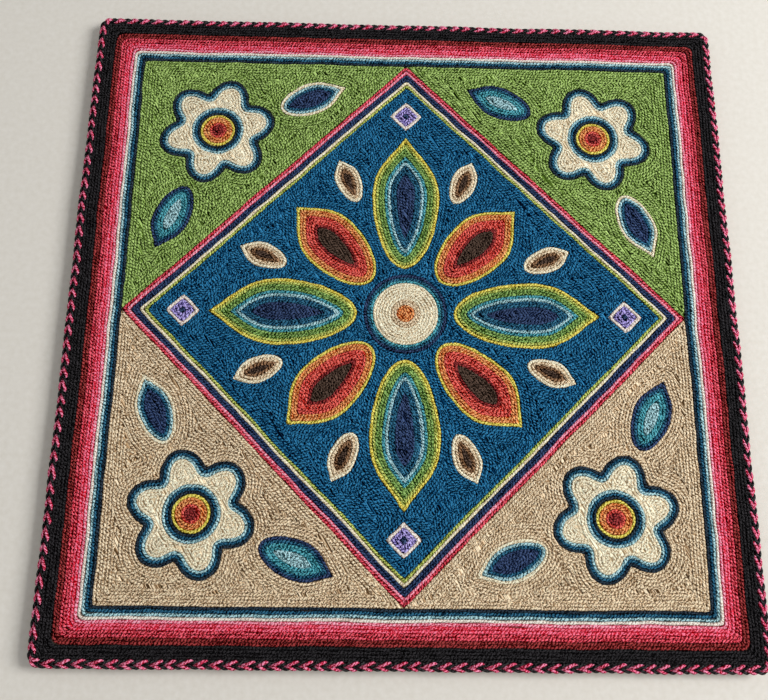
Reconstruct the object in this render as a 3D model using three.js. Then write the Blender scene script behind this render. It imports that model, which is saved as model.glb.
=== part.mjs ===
// Square yarn painting: coloured yarn pressed row by row into wax on a plywood board.
// Millimetres. It lies on its back: +Z out of the picture, +Y to the top of the picture.

import * as THREE from "three";

// Board and wax
const BOARD_SIDE = 300;
const BOARD_THICKNESS = 6;
const BOARD_CORNER_RADIUS = 1.4;
const WAX_THICKNESS = 0.6;

// Yarn: width of one laid row, its height above the wax, and the clearance between two fields
const ROW_WIDTH = 1.4;
const ROW_HEIGHT = 1.2;
const ROW_VALLEY = 0.5;
const FIELD_GAP = 0.3;
const FIELD_EDGE_ROUND = 0.3;
const TIGHTEST_TURN = 0.7;

// Corner radius of the border where its outermost stripe begins
const BORDER_TURN = 3;

// Border stripes, from the board's edge inwards
const BORDER_STRIPES = [
  { name: "border_black", rows: 4, colour: "#1d1b1c" },
  { name: "border_maroon", rows: 2, colour: "#611f1f" },
  { name: "border_crimson", rows: 2, colour: "#a02a40" },
  { name: "border_rose", rows: 2, colour: "#c94361" },
  { name: "border_pink", rows: 1, colour: "#de7389" },
  { name: "border_white", rows: 1, colour: "#dcd3c6" },
  { name: "border_pale_blue", rows: 1, colour: "#6d9aa6" },
  { name: "border_blue", rows: 1, colour: "#2e6a80" },
  { name: "border_ink", rows: 1, colour: "#131e29" },
];

// Stripes round the diamond, from its outer edge inwards
const DIAMOND_STRIPES = [
  { name: "diamond_crimson", rows: 1, colour: "#b3244b" },
  { name: "diamond_pink", rows: 1, colour: "#d9567c" },
  { name: "diamond_navy", rows: 2, colour: "#17223f" },
  { name: "diamond_cream", rows: 1, colour: "#d9d2bd" },
  { name: "diamond_lime", rows: 1, colour: "#8f9c38" },
];

// Rosette in the diamond. Petals and drops keep to their own angles, so that they never meet.
const HEART_RADIUS = 19;
const HEART_LANE = 2.8;
const PETAL_BELLY = 0.55;
const LONG_PETAL_ANGLE = THREE.MathUtils.degToRad(15);
const LONG_PETAL_LANE = 3.2;
const FLAME_PETAL_ANGLE = THREE.MathUtils.degToRad(15.5);
const FLAME_PETAL_CLEARANCE = 9;
const DROP_ANGLE = THREE.MathUtils.degToRad(4.8);
const DROP_LENGTH = 24;
const DROP_CLEARANCE = 6;
const BUD_HALF_DIAGONAL = 8;
const BUD_CLEARANCE = 8;

// Corner flowers and leaves
const FLOWER_LOBES = 6;
const FLOWER_CLEARANCE = 9.5;
const FLOWER_NOTCH = 8;
const FLOWER_HEART_RADIUS = 8.4;
const LEAF_CLEARANCE = 4;
const LEAF_START = 32;
const LEAF_WIDTH = 17;
const LEAF_BELLY = 0.5;

// Cord round the edge: two cords side by side, leaning over the top edge of the board
const CORD_DIAMETER = 1.9;
const CORD_LEAN = THREE.MathUtils.degToRad(35);

// Facets
const CORNER_STEPS = 3;
const PETAL_STEPS = 5;
const LEAF_STEPS = 4;
const DROP_STEPS = 3;
const HEART_STEPS = 28;
const FLOWER_HEART_STEPS = 18;
const LOBE_STEPS = 6;
const CORD_SIDES = 8;

// Colours of the grounds and motifs
const COLOUR = {
  plywood: "#b98f5c",
  wax: "#7a5a2e",
  cord: "#a8415f",
  royalBlue: "#1d4f93",
  green: "#708545",
  tan: "#b59c79",
  cream: "#d6c3a0",
  leafGreen: "#7d8a35",
  flameRed: "#b8281f",
  brown: "#5b3b22",
  lilac: "#6f64a0",
  teal: "#2b7a80",
  orange: "#c9672a",
  navy: "#14203a",
};

// Sizes that follow from the ones above
const boardHalf = BOARD_SIDE / 2;
const waxTop = BOARD_THICKNESS + WAX_THICKNESS;
const yarnTop = waxTop + ROW_HEIGHT;
const totalRows = (stripes) => stripes.reduce((sum, stripe) => sum + stripe.rows, 0);
const pictureHalf = boardHalf - totalRows(BORDER_STRIPES) * ROW_WIDTH;
const diamondReach = pictureHalf;
const groundReach = diamondReach - totalRows(DIAMOND_STRIPES) * ROW_WIDTH * Math.SQRT2;
const QUARTER = Math.PI / 2;

const painting = new THREE.Group();
painting.name = "yarn_painting";

function addMesh(parent, name, geometry, colour, roughness = 0.85) {
  const material = new THREE.MeshStandardMaterial({ color: colour, roughness, metalness: 0 });
  material.name = name;
  const mesh = new THREE.Mesh(geometry, material);
  mesh.name = name;
  parent.add(mesh);
  return mesh;
}

function turnedGroup(angle) {
  const group = new THREE.Group();
  group.rotation.z = angle;
  painting.add(group);
  return group;
}

const turned = (points, angle) => points.map((p) => p.clone().rotateAround(new THREE.Vector2(), angle));

// Closed loop with the corners of a square rounded, anticlockwise
function roundedSquare(half, radius) {
  const corner = [];
  for (let step = 0; step <= CORNER_STEPS; step += 1) {
    const angle = (step / CORNER_STEPS) * QUARTER;
    const x = half - radius + radius * Math.cos(angle);
    const y = half - radius + radius * Math.sin(angle);
    corner.push(new THREE.Vector2(x, y));
  }
  return [0, 1, 2, 3].flatMap((quarter) => turned(corner, quarter * QUARTER));
}

// Moves every side of an anticlockwise outline outwards by the same distance
function grown(outline, distance) {
  const count = outline.length;
  const outwardOf = (a, b) => new THREE.Vector2(b.y - a.y, a.x - b.x).normalize();
  return outline.map((point, i) => {
    const before = outwardOf(outline[(i + count - 1) % count], point);
    const after = outwardOf(point, outline[(i + 1) % count]);
    const mitre = before.clone().add(after).divideScalar(1 + before.dot(after));
    return point.clone().addScaledVector(mitre, distance);
  });
}

// Square frame with a constant cross-section. The section is a closed loop of inset and height,
// and turnAt gives the corner radius at an inset.
function sweptFrame(section, half, turnAt) {
  const positions = [];
  const indices = [];
  const loopLength = 4 * (CORNER_STEPS + 1);
  for (const [inset, height] of section) {
    const loop = roundedSquare(half - inset, turnAt(inset));
    loop.forEach((p) => positions.push(p.x, p.y, height));
  }
  for (let ring = 0; ring < section.length; ring += 1) {
    const next = (ring + 1) % section.length;
    for (let i = 0; i < loopLength; i += 1) {
      const j = (i + 1) % loopLength;
      const [a, b] = [ring * loopLength + i, ring * loopLength + j];
      const [c, d] = [next * loopLength + i, next * loopLength + j];
      indices.push(a, b, d, a, d, c);
    }
  }
  const geometry = new THREE.BufferGeometry();
  geometry.setAttribute("position", new THREE.Float32BufferAttribute(positions, 3));
  geometry.setIndex(indices);
  geometry.computeVertexNormals();
  return geometry;
}

// Section of several rows pressed side by side: one crown per row, a valley between two rows
function rowSection(rows) {
  const width = rows * ROW_WIDTH - FIELD_GAP;
  const row = width / rows;
  const quarters = 4 * rows;
  const section = [[0, waxTop]];
  for (let i = 0; i <= quarters; i += 1) {
    const crown = Math.abs(Math.sin((i / 4) * Math.PI));
    section.push([(i / 4) * row, waxTop + ROW_HEIGHT * (ROW_VALLEY + (1 - ROW_VALLEY) * crown)]);
  }
  section.push([width, waxTop]);
  return section;
}

// Field of yarn lying on the wax, with its edges rounded over
function yarnField(outline, holes = []) {
  const shape = new THREE.Shape(outline);
  shape.holes = holes.map((hole) => new THREE.Path(hole));
  const geometry = new THREE.ExtrudeGeometry(shape, {
    depth: ROW_HEIGHT - 2 * FIELD_EDGE_ROUND,
    bevelThickness: FIELD_EDGE_ROUND,
    bevelSize: FIELD_EDGE_ROUND,
    bevelOffset: -FIELD_EDGE_ROUND,
    bevelSegments: 1,
  });
  geometry.translate(0, 0, waxTop + FIELD_EDGE_ROUND);
  return geometry;
}

// Ground that fills the space between motifs: flat, so that its rows run level from edge to edge
function groundField(outline, motifs) {
  const shape = new THREE.Shape(grown(outline, -FIELD_GAP / 2));
  shape.holes = motifs.map((motif) => new THREE.Path(grown(motif, FIELD_GAP / 2)));
  const geometry = new THREE.ExtrudeGeometry(shape, { depth: ROW_HEIGHT, bevelEnabled: false });
  geometry.translate(0, 0, waxTop);
  return geometry;
}

const motifField = (outline) => yarnField(grown(outline, -FIELD_GAP / 2));

// Teardrop along +X, round at the base and pointed at the tip
function petalOutline(base, tip, halfWidth, belly, steps) {
  const middle = base + (tip - base) * belly;
  const rear = middle - base;
  const front = tip - middle;
  const shape = new THREE.Shape();
  shape.moveTo(base, 0);
  shape.bezierCurveTo(base, -0.5 * halfWidth, middle - 0.55 * rear, -halfWidth, middle, -halfWidth);
  shape.bezierCurveTo(middle + 0.5 * front, -halfWidth, tip - 0.3 * front, -0.3 * halfWidth, tip, 0);
  shape.bezierCurveTo(tip - 0.3 * front, 0.3 * halfWidth, middle + 0.5 * front, halfWidth, middle, halfWidth);
  shape.bezierCurveTo(middle - 0.55 * rear, halfWidth, base, 0.5 * halfWidth, base, 0);
  return shape.getPoints(steps).slice(0, -1);
}

// Petal that keeps to its own angle seen from the middle of the rosette
function sectorPetal(base, tip, halfAngle, steps) {
  const bellyRadius = base + (tip - base) * PETAL_BELLY;
  return petalOutline(base, tip, bellyRadius * Math.tan(halfAngle), PETAL_BELLY, steps);
}

function circleOutline(radius, steps) {
  return new THREE.Path().absarc(0, 0, radius, 0, 2 * Math.PI).getPoints(steps).slice(0, -1);
}

// Flower with round lobes and a sharp notch between two lobes
function flowerOutline(radius) {
  const steps = FLOWER_LOBES * LOBE_STEPS;
  const points = [];
  for (let i = 0; i < steps; i += 1) {
    const angle = (i / steps) * 2 * Math.PI;
    const lobe = Math.abs(Math.cos((FLOWER_LOBES / 2) * angle));
    const reach = radius - FLOWER_NOTCH * (1 - lobe);
    points.push(new THREE.Vector2(reach * Math.cos(angle), reach * Math.sin(angle)));
  }
  return points;
}

// Square standing on its point
function diamondOutline(reach) {
  const tip = new THREE.Vector2(reach, 0);
  return [0, 1, 2, 3].flatMap((quarter) => turned([tip], quarter * QUARTER));
}

// Board and wax
const boardShape = new THREE.Shape(roundedSquare(boardHalf, BOARD_CORNER_RADIUS));
const boardGeometry = new THREE.ExtrudeGeometry(boardShape, { depth: BOARD_THICKNESS, bevelEnabled: false });
addMesh(painting, "plywood_board", boardGeometry, COLOUR.plywood, 0.7);

const waxGeometry = new THREE.ExtrudeGeometry(boardShape, { depth: WAX_THICKNESS, bevelEnabled: false });
waxGeometry.translate(0, 0, BOARD_THICKNESS);
addMesh(painting, "wax_bed", waxGeometry, COLOUR.wax, 0.5);

// Cord round the edge
function cordRing(centreHalf, centreHeight) {
  const section = [];
  for (let side = 0; side < CORD_SIDES; side += 1) {
    const angle = (side / CORD_SIDES) * 2 * Math.PI;
    const inset = (CORD_DIAMETER / 2) * Math.sin(angle);
    section.push([inset, centreHeight - (CORD_DIAMETER / 2) * Math.cos(angle)]);
  }
  const centreTurn = BOARD_CORNER_RADIUS + centreHalf - boardHalf;
  return sweptFrame(section.reverse(), centreHalf, (inset) => centreTurn - inset);
}

const cordSpacing = CORD_DIAMETER + FIELD_GAP;
const innerCordHalf = boardHalf + FIELD_GAP + CORD_DIAMETER / 2;
const innerCordHeight = yarnTop - CORD_DIAMETER / 2;
const outerCordHalf = innerCordHalf + cordSpacing * Math.cos(CORD_LEAN);
const outerCordHeight = innerCordHeight - cordSpacing * Math.sin(CORD_LEAN);
addMesh(painting, "edge_cord_inner", cordRing(innerCordHalf, innerCordHeight), COLOUR.cord);
addMesh(painting, "edge_cord_outer", cordRing(outerCordHalf, outerCordHeight), COLOUR.cord);

// Corners of the border: each row turns wider than the one inside it, up to the outermost stripe,
// which fills the corner of the board
const widestHalf = boardHalf - BORDER_STRIPES[0].rows * ROW_WIDTH;
function borderTurn(half) {
  if (half > widestHalf) {
    return THREE.MathUtils.mapLinear(half, widestHalf, boardHalf, BORDER_TURN, BOARD_CORNER_RADIUS);
  }
  return THREE.MathUtils.mapLinear(half, pictureHalf, widestHalf, TIGHTEST_TURN, BORDER_TURN);
}

// Striped frames: each stripe starts where the one outside it ends
function addStripes(parent, stripes, outerHalf, turnAtHalf) {
  let half = outerHalf;
  for (const stripe of stripes) {
    const edge = half - FIELD_GAP / 2;
    const geometry = sweptFrame(rowSection(stripe.rows), edge, (inset) => turnAtHalf(edge - inset));
    addMesh(parent, stripe.name, geometry, stripe.colour);
    half -= stripe.rows * ROW_WIDTH;
  }
}

addStripes(painting, BORDER_STRIPES, boardHalf, borderTurn);
addStripes(turnedGroup(QUARTER / 2), DIAMOND_STRIPES, diamondReach / Math.SQRT2, () => TIGHTEST_TURN);

// Rosette in the diamond
const petalBase = HEART_RADIUS + HEART_LANE;
const budReach = groundReach - BUD_CLEARANCE - BUD_HALF_DIAGONAL;
const longPetalTip = budReach - BUD_HALF_DIAGONAL - LONG_PETAL_LANE;
const flamePetalTip = groundReach / Math.SQRT2 - FLAME_PETAL_CLEARANCE;
const dropDirection = QUARTER / 4;
const dropTip = groundReach / (Math.cos(dropDirection) + Math.sin(dropDirection)) - DROP_CLEARANCE;
const dropBase = dropTip - DROP_LENGTH;

const heartOutline = circleOutline(HEART_RADIUS, HEART_STEPS);
const longPetalOutline = sectorPetal(petalBase, longPetalTip, LONG_PETAL_ANGLE, PETAL_STEPS);
const flamePetalOutline = sectorPetal(petalBase, flamePetalTip, FLAME_PETAL_ANGLE, PETAL_STEPS);
const dropOutline = sectorPetal(dropBase, dropTip, DROP_ANGLE, DROP_STEPS);
const budOutline = diamondOutline(BUD_HALF_DIAGONAL).map((p) => p.add(new THREE.Vector2(budReach, 0)));

const rosetteOutlines = [heartOutline];
addMesh(painting, "heart_disc", motifField(heartOutline), COLOUR.cream);

const directions = ["e", "n", "w", "s"];
directions.forEach((direction, quarter) => {
  const straight = quarter * QUARTER;
  const diagonal = straight + QUARTER / 2;
  const diagonalName = ["ne", "nw", "sw", "se"][quarter];
  const motifs = [
    ["long_petal_" + direction, longPetalOutline, straight, COLOUR.leafGreen],
    ["tip_bud_" + direction, budOutline, straight, COLOUR.lilac],
    ["flame_petal_" + diagonalName, flamePetalOutline, diagonal, COLOUR.flameRed],
    ["seed_drop_" + diagonalName + "_a", dropOutline, straight + dropDirection, COLOUR.brown],
    ["seed_drop_" + diagonalName + "_b", dropOutline, diagonal + dropDirection, COLOUR.brown],
  ];
  for (const [name, outline, angle, colour] of motifs) {
    addMesh(turnedGroup(angle), name, motifField(outline), colour);
    rosetteOutlines.push(turned(outline, angle));
  }
});

const diamondGround = groundField(diamondOutline(groundReach), rosetteOutlines);
addMesh(painting, "diamond_ground", diamondGround, COLOUR.royalBlue);

// Corner grounds: right-angled triangles between the border and the diamond
const cornerTriangle = [
  new THREE.Vector2(pictureHalf, pictureHalf),
  new THREE.Vector2(0, pictureHalf),
  new THREE.Vector2(pictureHalf, 0),
];
const inscribedRadius = pictureHalf * (1 - Math.SQRT1_2);
const flowerCentre = new THREE.Vector2(pictureHalf - inscribedRadius, pictureHalf - inscribedRadius);
const flowerRadius = inscribedRadius - FLOWER_CLEARANCE;
const leafEnd = inscribedRadius / Math.sin(QUARTER / 4) - flowerRadius - LEAF_CLEARANCE;

const moved = (points, offset) => points.map((p) => p.clone().add(offset));
const flower = moved(turned(flowerOutline(flowerRadius), QUARTER / 2), flowerCentre);
const flowerHeart = moved(circleOutline(FLOWER_HEART_RADIUS, FLOWER_HEART_STEPS), flowerCentre);
const leaf = petalOutline(-leafEnd, -LEAF_START, LEAF_WIDTH / 2, LEAF_BELLY, LEAF_STEPS);
const upperLeaf = moved(turned(leaf, Math.PI - QUARTER / 4), new THREE.Vector2(0, pictureHalf));
const lowerLeaf = moved(turned(leaf, (-3 * QUARTER) / 4), new THREE.Vector2(pictureHalf, 0));

const corners = ["ne", "nw", "sw", "se"];
corners.forEach((corner, quarter) => {
  const group = turnedGroup(quarter * QUARTER);
  const groundColour = quarter < 2 ? COLOUR.green : COLOUR.tan;
  const ground = groundField(cornerTriangle, [flower, upperLeaf, lowerLeaf]);
  addMesh(group, "spandrel_ground_" + corner, ground, groundColour);
  const petals = yarnField(grown(flower, -FIELD_GAP / 2), [grown(flowerHeart, FIELD_GAP / 2)]);
  addMesh(group, "corner_flower_" + corner, petals, COLOUR.cream);
  addMesh(group, "corner_flower_heart_" + corner, motifField(flowerHeart), COLOUR.orange);
  addMesh(group, "corner_leaf_" + corner + "_a", motifField(upperLeaf), COLOUR.teal);
  addMesh(group, "corner_leaf_" + corner + "_b", motifField(lowerLeaf), COLOUR.navy);
});

export default painting;
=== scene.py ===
"""Yarn painting: lays pressed rows of yarn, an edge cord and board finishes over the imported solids."""

import math

import bpy
import numpy as np
from bpy.props import FloatProperty, FloatVectorProperty, PointerProperty
from mathutils import Matrix, Vector


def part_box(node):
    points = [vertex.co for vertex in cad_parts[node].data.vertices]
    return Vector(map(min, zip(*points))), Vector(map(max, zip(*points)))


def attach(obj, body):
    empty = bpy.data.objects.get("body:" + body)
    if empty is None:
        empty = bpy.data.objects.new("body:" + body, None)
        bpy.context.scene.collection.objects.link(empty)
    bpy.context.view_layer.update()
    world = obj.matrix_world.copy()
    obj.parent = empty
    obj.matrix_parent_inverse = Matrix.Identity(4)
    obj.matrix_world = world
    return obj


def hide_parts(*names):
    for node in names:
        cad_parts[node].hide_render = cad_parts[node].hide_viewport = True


bl_info = {
    "name": "Yarn Painting",
    "version": (1, 0, 0),
    "blender": (4, 5, 0),
    "location": "View3D > Sidebar > Yarn Painting",
    "description": "Lays pressed yarn rows, an edge cord and board finishes over the painting's solids",
    "category": "Object",
}

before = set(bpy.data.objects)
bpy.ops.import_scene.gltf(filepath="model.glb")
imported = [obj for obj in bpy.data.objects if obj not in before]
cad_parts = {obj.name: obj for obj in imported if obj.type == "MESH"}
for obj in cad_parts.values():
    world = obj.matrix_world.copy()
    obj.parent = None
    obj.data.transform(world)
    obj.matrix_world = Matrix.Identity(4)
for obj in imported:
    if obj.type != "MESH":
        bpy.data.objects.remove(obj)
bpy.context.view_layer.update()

# Metres in a millimetre. The lengths below are in millimetres.
MM = 0.001

# Yarn colours, as sRGB hex
YARNS = {
    "black": "#060506",
    "maroon": "#5b0909",
    "crimson": "#b80817",
    "rose": "#ff1a36",
    "pink": "#ff607e",
    "white": "#f2dacb",
    "pale_blue": "#6a959c",
    "teal": "#1e6a78",
    "blue": "#07314b",
    "navy": "#0d1a38",
    "ink": "#071019",
    "royal_blue": "#02365e",
    "green": "#62802e",
    "lime": "#84912d",
    "leaf_green": "#486c24",
    "yellow": "#ccb230",
    "orange": "#cc5212",
    "flame_red": "#b41209",
    "brown": "#54341c",
    "dark_brown": "#20130c",
    "tan": "#c6a37a",
    "cream": "#f4dcb6",
    "lilac": "#685aa2",
    "cord_pink": "#f43862",
    "cord_black": "#0d0c0d",
}

# Yarn of each stripe, and its rows
STRIPE_ROWS = {
    "border_black": ("black", 4),
    "border_maroon": ("maroon", 2),
    "border_crimson": ("crimson", 2),
    "border_rose": ("rose", 2),
    "border_pink": ("pink", 1),
    "border_white": ("white", 1),
    "border_pale_blue": ("pale_blue", 1),
    "border_blue": ("blue", 1),
    "border_ink": ("ink", 1),
    "diamond_crimson": ("crimson", 1),
    "diamond_pink": ("pink", 1),
    "diamond_navy": ("navy", 2),
    "diamond_cream": ("cream", 1),
    "diamond_lime": ("lime", 1),
}

# Rows of each motif, counted from its outline inwards. The last yarn fills what is left.
MOTIF_ROWS = {
    "long_petal": [
        ("yellow", 1), ("lime", 1), ("leaf_green", 2), ("teal", 1), ("pale_blue", 1), ("blue", 2),
        ("navy", 1)],
    "flame_petal": [
        ("yellow", 1), ("orange", 2), ("flame_red", 3), ("maroon", 1), ("dark_brown", 1)],
    "seed_drop": [("cream", 1), ("tan", 1), ("brown", 1), ("dark_brown", 1)],
    "tip_bud": [("white", 1), ("lilac", 2), ("navy", 1)],
    "heart_disc": [
        ("navy", 1), ("blue", 1), ("teal", 1), ("cream", 6), ("tan", 2), ("orange", 1)],
    "corner_flower_heart": [("yellow", 1), ("orange", 2), ("flame_red", 1), ("maroon", 1)],
    "corner_flower": [("ink", 1), ("blue", 1), ("pale_blue", 1), ("cream", 1)],
    "corner_leaf_a": [("navy", 1), ("blue", 1), ("teal", 2), ("pale_blue", 1)],
    "corner_leaf_b": [("cream", 1), ("pale_blue", 1), ("blue", 1), ("navy", 1)],
    "diamond_ground": [("royal_blue", 1)],
    "spandrel_ground_green": [("green", 1)],
    "spandrel_ground_tan": [("tan", 1)],
}

CORNERS = ("ne", "nw", "sw", "se")
SIDES = ("e", "n", "w", "s")

# Corner radii: the board's, the border's inside its black stripe, the picture's and the diamond's
BOARD_TURN = 1.4
BORDER_TURN = 3.2
PICTURE_TURN = 1.8
DIAMOND_TURN = 0.9
TURN_POINTS = 7

# Outlines of the fields: step along them, angle in degrees past which a corner stays sharp, height
# within which two points are level, and the grid that the distance to them is measured on
OUTLINE_STEP = 0.6
SHARP_CORNER = 75.0
LEVEL = 0.02
GRID_SPACING = 0.3
GRID_REACH = 24.0

# Filling a field: the shortest row, and how far the last row stays from the deepest place
SHORTEST_ROW = 2.2
DEEPEST_ROOM = 0.1

# Stripes: step along a row, what their rounded tips take off the diamond's half width, and how far
# the last black row lies outside the board
STRIPE_STEP = 1.6
TIP_LOSS = 0.2
OVERHANG = 0.2

# Section of a pressed row: across from -0.5 to 0.5 of its width, and height from 0 to 1. A row is
# a little wider than the spacing, so neighbours press into each other.
ROW_SECTION = [
    (-0.50, 0.10), (-0.47, 0.52), (-0.28, 0.88), (0.0, 1.0), (0.28, 0.88), (0.47, 0.52), (0.50, 0.10)]
ROW_OVERLAP = 1.16

# Drifts of the hand over the whole painting: their seed, how many, how long and how far
DRIFT_SEED = 11
DRIFT_COUNT = 7
DRIFT_LENGTH = (14, 70)
DRIFT_REACH = (0.07, 0.19)

# What each row does on its own: wanders, lies deeper or higher in the wax, swells and thins, and is
# twisted more or less, from any of many plies on
WANDER = 0.25
PRESS_LEAST, PRESS_RANGE = 0.05, 0.05
PRESS_OVER_EDGE = 0.5
PRESS_WANDER = 0.5
PRESS_LIMITS = (-0.05, 0.1)
SWELL = (0.84, 1.14)
TWIST_RANGE = (0.9, 1.12)
START_PLIES = 2000

# Passes that ease a row's kinks, its wandering and its swelling
ROW_EASING, WANDER_EASING, SWELL_EASING = 2, 5, 1

# Beds under the rows: how far a bed stays inside the rows before, the step along it, its underside
# and its top as shares of the row height, what each further colour adds, the distance within which
# points merge, and the angle in degrees up to which faces are shaded as one
BED_INSET = 0.1
BED_STEP = 1.5
BED_UNDERSIDE = 0.1
FIELD_BED_TOP = 0.58
INNER_BED_TOP, INNER_BED_RISE = 0.62, 0.02
MERGE = 0.001
SMOOTH_ANGLE = 60

# Edge cord: its radius, how far it is pulled in and lifted from the solids, the distance of a ply
# from its middle, points in a turn and round a ply, the fullness of the pink and the black ply, and
# the seed of their twist
CORD_RADIUS = 0.95
CORD_PULL, CORD_LIFT = 0.3, 0.1
PLY_OFF_CENTRE = 0.54
TURN_STEPS = 14
PLY_SIDES = 7
PLY_FULLNESS = (1.12, 1.04)
CORD_SEED = 5
# How its turns bunch and stretch: waves round the board, swing and start in radians
CORD_DRIFTS = ((5, 1.2, 0.3), (23, 0.5, 1.9), (61, 0.3, 4.0), (97, 0.2, 2.2))

# Baking map: room round the field, edge of the map, edge of a strip, and room for a strip's
# breadth and length
BAKE_ROOM = 1.5
BAKE_EDGE = 0.01
STRIP_EDGE = 0.06
STRIP_BREADTH, STRIP_LENGTH = 1.2, 1.05

# Stage: the backdrop's colour, the floor's size, its drop below the board and where it runs out, in
# metres, and the room's light
BACKDROP = "#dedad2"
FLOOR_SIZE = 4.0
FLOOR_DROP = 0.02 * MM
FLOOR_NEAR, FLOOR_FAR = 0.3, 0.65
ROOM_TINT = (0.98, 0.99, 1.0, 1.0)
ROOM_LIGHT = 0.42
# Lamps: name, place and width in metres, and watts
LAMPS = (
    ("key", (1.1, 0.08, 0.95), 0.6, 23.0),
    ("fill", (-0.8, -0.5, 1.0), 1.2, 1.5),
)
# Camera: where it stands and aims, its roll in degrees, its sensor and its lens
CAMERA_STAND = (-17.17, -119.15, 374.99)
CAMERA_AIM = (-9.42, -16.94, 5.6)
CAMERA_ROLL = 5.126
CAMERA_SENSOR = 36.0
CAMERA_LENS = 39.624
CAMERA_NEAREST = 10.0

DISTANCE = {"precision": 5, "unit": "LENGTH", "subtype": "DISTANCE"}


def to_linear(hex_colour):
    """sRGB hex to the linear values that shaders take."""
    values = [int(hex_colour[i:i + 2], 16) / 255 for i in (1, 3, 5)]
    return tuple(v / 12.92 if v <= 0.04045 else ((v + 0.055) / 1.055) ** 2.4 for v in values)


class PaintingSizes(bpy.types.PropertyGroup):
    """Sizes of the yarn and the cord"""

    row_pitch: FloatProperty(
        name="Row spacing", description="Distance between two laid rows",
        default=1.4 * MM, min=0.5 * MM, max=4 * MM, **DISTANCE)
    row_height: FloatProperty(
        name="Row height", description="Height of a pressed row above the wax",
        default=1.2 * MM, min=0.3 * MM, max=3 * MM, **DISTANCE)
    field_gap: FloatProperty(
        name="Field gap", description="Gap between two solids, which the rows close",
        default=0.3 * MM, min=0.0, max=1 * MM, **DISTANCE)
    ply_spacing: FloatProperty(
        name="Ply spacing", description="Distance between two plies along a row",
        default=1.6 * MM, min=0.5 * MM, max=6 * MM, **DISTANCE)
    cord_lay: FloatProperty(
        name="Cord lay", description="Length of one turn of the edge cord",
        default=6.3 * MM, min=2 * MM, max=12 * MM, **DISTANCE)
    ply_radius: FloatProperty(
        name="Cord ply radius", description="Radius of one ply of the edge cord",
        default=0.62 * MM, min=0.2 * MM, max=1.5 * MM, **DISTANCE)
    step: FloatProperty(
        name="Step", description="Distance between two points along a row",
        default=1.0 * MM, min=0.3 * MM, max=3 * MM, **DISTANCE)


class YarnColours(bpy.types.PropertyGroup):
    """Colour of each yarn"""

    __annotations__ = {
        key: FloatVectorProperty(
            name=key.replace("_", " ").capitalize(),
            description="Colour of the " + key.replace("_", " ") + " yarn",
            subtype="COLOR", size=3, min=0.0, max=1.0, default=to_linear(value))
        for key, value in YARNS.items()
    }


def size(name):
    """One of the painting's sizes, in millimetres."""
    return getattr(bpy.context.scene.painting_sizes, name) / MM


def set_inputs(tree, node, inputs):
    """Sets a node's inputs. A socket is linked, and so is a node, by its first output."""
    for key, value in inputs.items():
        if isinstance(value, bpy.types.Node):
            value = value.outputs[0]
        if isinstance(value, bpy.types.NodeSocket):
            tree.links.new(value, node.inputs[key])
        else:
            node.inputs[key].default_value = value


def add_node(tree, kind, inputs, stops=(), **settings):
    """Adds a node with its settings, its inputs and its colour stops, from low to high."""
    made = tree.nodes.new(kind)
    for key, value in settings.items():
        setattr(made, key, value)
    set_inputs(tree, made, inputs)
    for place, _ in stops[1:-1]:
        made.color_ramp.elements.new(place)
    for index, (place, colour) in enumerate(stops):
        stop = made.color_ramp.elements[index]
        stop.position, stop.color = place, (*colour, 1.0)
    return made


def new_material(name):
    """A new material with its output and shader: (material, tree, shader)."""
    material = bpy.data.materials.new(name)
    material.use_nodes = True
    tree = material.node_tree
    shader = next(n for n in tree.nodes if n.type == "BSDF_PRINCIPLED")
    return material, tree, shader


def painted_shade_and_highlight_tones(colour, bright):
    """Tones of a yarn from painted groove shade to painted crest highlight: [(place, colour)].

    Grooves are painted in shade, darker and deeper in colour, and crests in painted highlight, lighter
    and paler, the brightest with a painted sheen. Pale and vivid yarn lets more light through.
    """
    vivid = max(colour)
    pale = min(1.0, max(0.0, ((bright + vivid) / 2 - 0.37) / 0.3))
    pure = 1 + 0.9 * (vivid - sorted(colour)[1])
    painted_sheen = 0.012 + 0.7 * (1 - pale) * vivid ** 2 * (1 - vivid)
    clean_white, hue_kept = 0.95, 0.6
    # Place, painted lightness from groove shade to crest highlight, depth of colour and added painted
    # sheen
    shades = (
        (0.0, 0.05 + 0.24 * pale, 1 + 0.4 * pure, 0.0),
        (0.28, 0.5 + 0.12 * pale, 1 + 0.25 * pure, 0.0),
        (0.52, 1.0, 1.0, 0.0),
        (0.78, 1.26 - 0.08 * pale, 1 - 0.2 * pure, 0.0),
        (1.0, 1.58 - 0.2 * pale, 1 - 0.35 * pure, painted_sheen),
    )
    tones = []
    for place, level, depth, added in shades:
        tone = [level * c ** depth + added for c in colour]
        # No tone goes past a clean white yarn, and most of its hue stays
        held = min(1.0, clean_white / max(tone)) ** hue_kept
        tones.append((place, [min(clean_white, held * value) for value in tone]))
    return tones


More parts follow.
